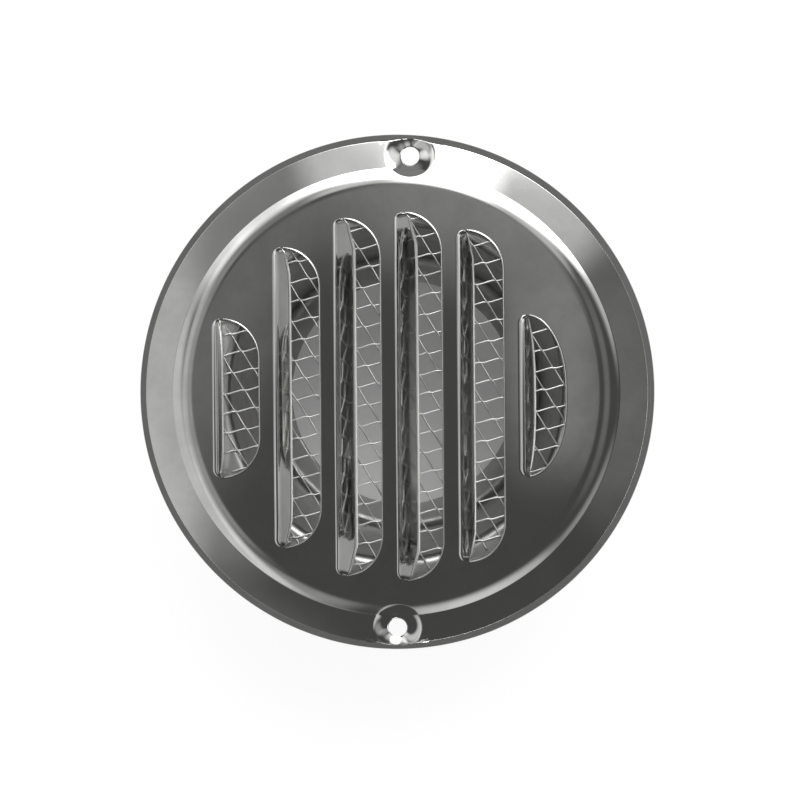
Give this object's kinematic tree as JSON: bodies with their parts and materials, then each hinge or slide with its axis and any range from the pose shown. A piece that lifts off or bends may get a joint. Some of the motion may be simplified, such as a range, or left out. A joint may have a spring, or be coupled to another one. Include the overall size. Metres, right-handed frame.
{
  "type": "round vent cover",
  "caption": "Round pressed-steel wall vent cover with fixed louvre blades bent out of a raised face, a wire mesh behind them, dimpled screw holes in the brim and a flanged duct collar.",
  "frame": {"origin": "where the duct axis meets the wall plane that the brim's lip stands on", "axes": "+Z out of the wall along the duct axis, +Y along the louvres, +X the way the louvres open"},
  "size_m": [0.15, 0.15, 0.0837],
  "materials": {
    "polished_face": "polished stainless sheet",
    "mesh_wire": "bright drawn stainless wire",
    "collar_sheet": "mill-finish stainless sheet"
  },
  "bodies": {
    "root": {"face_plate": "polished_face", "wire_mesh": "mesh_wire", "duct_collar": "collar_sheet"}
  },
  "joints": []
}
